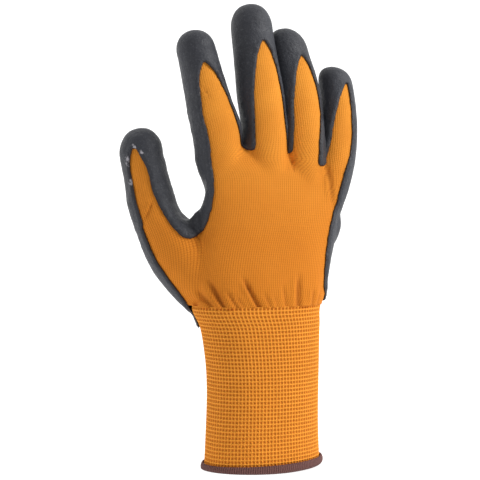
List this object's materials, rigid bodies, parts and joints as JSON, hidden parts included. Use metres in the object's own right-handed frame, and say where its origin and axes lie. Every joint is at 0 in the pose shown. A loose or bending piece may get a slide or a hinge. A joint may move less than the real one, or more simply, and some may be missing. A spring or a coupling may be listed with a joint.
{
  "type": "gardening glove",
  "caption": "Right-hand knitted gardening glove with a long ribbed cuff, an overlocked hem and a dark latex coating over the palm, thumb and fingertips.",
  "frame": {"origin": "middle of the wrist opening, at the hem", "axes": "+Z from the wrist opening up to the fingertips, +Y towards the palm, +X towards the little finger"},
  "size_m": [0.1221, 0.057, 0.2337],
  "materials": {
    "orange_knit": "fine plain nylon knit",
    "orange_rib": "ribbed elastic knit",
    "dark_latex": "matte crinkled latex film",
    "brown_thread": "overlock thread"
  },
  "bodies": {
    "root": {"knit_palm": "orange_knit", "knit_index": "orange_knit", "knit_middle": "orange_knit", "knit_ring": "orange_knit", "knit_little": "orange_knit", "knit_thumb": "orange_knit", "rib_cuff": "orange_rib", "palm_coating": "dark_latex", "hem_overlock": "brown_thread"}
  },
  "joints": []
}
